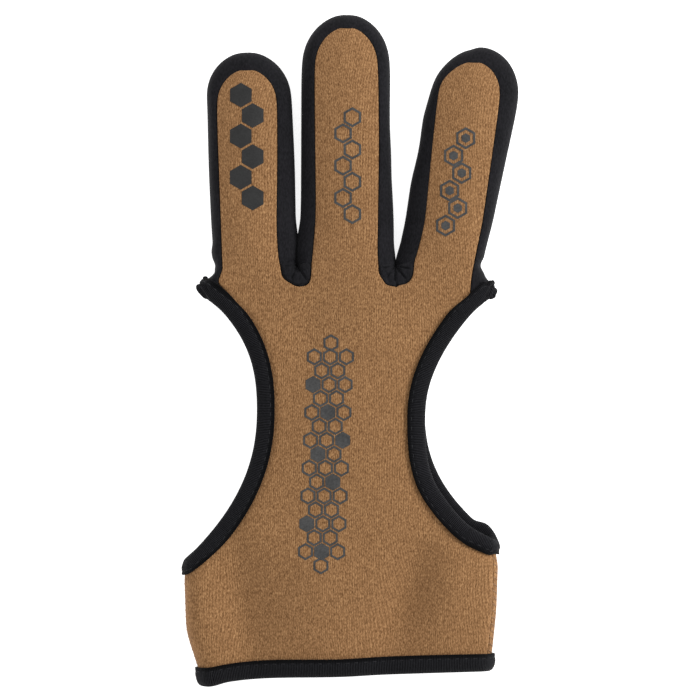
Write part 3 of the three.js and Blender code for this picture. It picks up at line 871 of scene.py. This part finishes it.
def cell(radius, line=None):
    """One flat six-sided cell of the honeycomb, solid or only a line, as points and faces."""
    bpy.ops.object.select_all(action="DESELECT")
    fill = "NGON" if line else "TRIFAN"
    bpy.ops.mesh.primitive_circle_add(vertices=6, radius=radius, fill_type=fill)
    piece = bpy.context.object
    edit(piece)
    if line:
        bpy.ops.mesh.inset(thickness=line)
        bpy.ops.mesh.delete(type="FACE")
        bpy.ops.mesh.select_all(action="SELECT")
    bpy.ops.mesh.subdivide(number_cuts=2 if line else 3)
    bpy.ops.object.mode_set(mode="OBJECT")
    points = [vertex.co.copy() for vertex in piece.data.vertices]
    faces = [list(face.vertices) for face in piece.data.polygons]
    bpy.data.objects.remove(piece)
    return points, faces


def print_on_back(name, cells, finish):
    """Lays cells on the tan back: each is a shape and the x and y of its middle, in mm."""
    points = []
    faces = []
    for (shape_points, shape_faces), x, y in cells:
        first = len(points)
        for point in shape_points:
            hit, facing = on_back(x * MM + point.x, y * MM + point.y)
            points.append(hit + facing * INK)
        faces += [[first + corner for corner in face] for face in shape_faces]
    piece = sewn_mesh(name, points, faces)
    if piece.data.polygons[0].normal.z < 0:
        piece.data.flip_normals()
    film = piece.modifiers.new("film", "SOLIDIFY")
    film.thickness = FILM
    film.offset = -1
    bpy.ops.object.modifier_apply(modifier=film.name)
    bpy.ops.object.shade_smooth_by_angle(angle=math.radians(40))
    finished(piece, finish)


def zigzag(shape, x, y, lean, radius, count, first_side):
    """Cells in a zigzag down a finger, from the top, in mm: lean is how x changes for each mm down."""
    half = radius * math.sqrt(3) / 4
    down = radius * 1.5
    cells = []
    for index in range(count):
        side = first_side * (-1) ** index
        cells.append((shape, x + lean * index * down + side * half, y - index * down))
    return cells


INDEX_CELL = 4.6
MIDDLE_CELL = 3.6
RING_CELL = 3.9
HAND_CELL = 3.1
CELL_GAP = 0.42
HEART = 0.42

index_cell = cell((INDEX_CELL - CELL_GAP) * MM)
index_cells = zigzag(index_cell, x=-33.7, y=85.5, lean=0.0, radius=INDEX_CELL, count=6, first_side=-1)
print_on_back("index_print", index_cells, black_ink)

middle_cell = cell((MIDDLE_CELL - CELL_GAP * 0.5) * MM, LINE)
middle_cells = zigzag(middle_cell, x=0.1, y=78.0, lean=0.0, radius=MIDDLE_CELL, count=7, first_side=1)
print_on_back("middle_print", middle_cells, grey_ink)

ring_outer = cell((RING_CELL - CELL_GAP * 0.5) * MM, LINE)
ring_heart = cell(RING_CELL * HEART * MM)
ring_cells = zigzag(ring_outer, x=37.9, y=71.0, lean=-0.115, radius=RING_CELL, count=6, first_side=1)
ring_cells += [(ring_heart, x, y) for _, x, y in ring_cells]
print_on_back("ring_print", ring_cells, grey_ink)

# The strip down the hand: staggered rows of cells, two or three wide and one at each end, some of them solid.
STRIP_TOP = 2.5
STRIP_MIDDLE = -5.6
STRIP_LEAN = 0.045
STRIP_ROWS = 17
hand_open = cell((HAND_CELL - CELL_GAP * 0.5) * MM, LINE * 0.9)
hand_solid = cell((HAND_CELL - CELL_GAP * 0.5) * MM)
hand_cells = []
for row in range(STRIP_ROWS):
    wide = 1 if row in (0, STRIP_ROWS - 1) else 2 + row % 2
    y = STRIP_TOP - row * HAND_CELL * 1.5
    for column in range(wide):
        x = STRIP_MIDDLE + STRIP_LEAN * y + (column - (wide - 1) / 2) * HAND_CELL * math.sqrt(3)
        shape = hand_solid if (row * 2 + column) % 5 == 1 else hand_open
        hand_cells.append((shape, x, y))
print_on_back("hand_print", hand_cells, grey_ink)


# The cuff's side seams: the two panels are closed edge to edge with slanting stitches of tan thread.
SEAM_TOP = -70.0 * MM
SEAM_END = -105.5 * MM
SEAM_STITCHES = 17
SEAM_THREAD = 0.22 * MM
SEAM_STITCH = 3.4 * MM
SEAM_SLANT = Vector((0, 0.55, 1)).normalized()
SEAM_LIFT = 0.4 * SEAM_THREAD
SEAM_DROP = 1.2 * SEAM_THREAD
CUFF_SIDE = 35 * MM
BESIDE_GLOVE = 70 * MM

tan_thread = Finish("tan_thread", "tan_neoprene", roughness=0.7, sheen=0.05, specular=0.2)
twist = tan_thread.noise(tan_thread.place, 2600.0, 1.0)
tan_thread.colour(tan_thread.ramp(twist, (0.3, (0.13, 0.065, 0.03)), (0.7, (0.33, 0.19, 0.1))))
tan_thread.relief(twist, 0.05 * MM)

cuff_points = [vertex.co.copy() for vertex in back_panel.data.vertices if vertex.co.y < SEAM_TOP + 3 * MM]
cuff_surface = surface_of((palm_panel, back_panel))
for name, side in (("thumb_side_seam", -1), ("little_finger_side_seam", 1)):
    outwards = Vector((side, 0, 0))
    points = []
    faces = []
    for index in range(SEAM_STITCHES):
        y = SEAM_TOP + (SEAM_END - SEAM_TOP) * index / (SEAM_STITCHES - 1)
        beside = [point for point in cuff_points if abs(point.y - y) < MM and point.x * side > CUFF_SIDE]
        seam = min(point.z for point in beside)
        first = len(points)
        for point in stitch_points:
            place = Vector((side * BESIDE_GLOVE, y, seam)) + SEAM_SLANT * (point.z / STITCH * SEAM_STITCH)
            hit = cuff_surface.ray_cast(place, -outwards)[0] or place
            drop = SEAM_DROP * (2 * point.z / STITCH) ** 2
            across = outwards.cross(SEAM_SLANT) * (point.x / THREAD * SEAM_THREAD)
            points.append(hit + across + outwards * (point.y / THREAD * SEAM_THREAD + SEAM_LIFT - drop))
        faces += [[first + corner for corner in face] for face in stitch_faces]
    piece = sewn_mesh(name, points, faces)
    bpy.ops.object.shade_smooth()
    finished(piece, tan_thread)
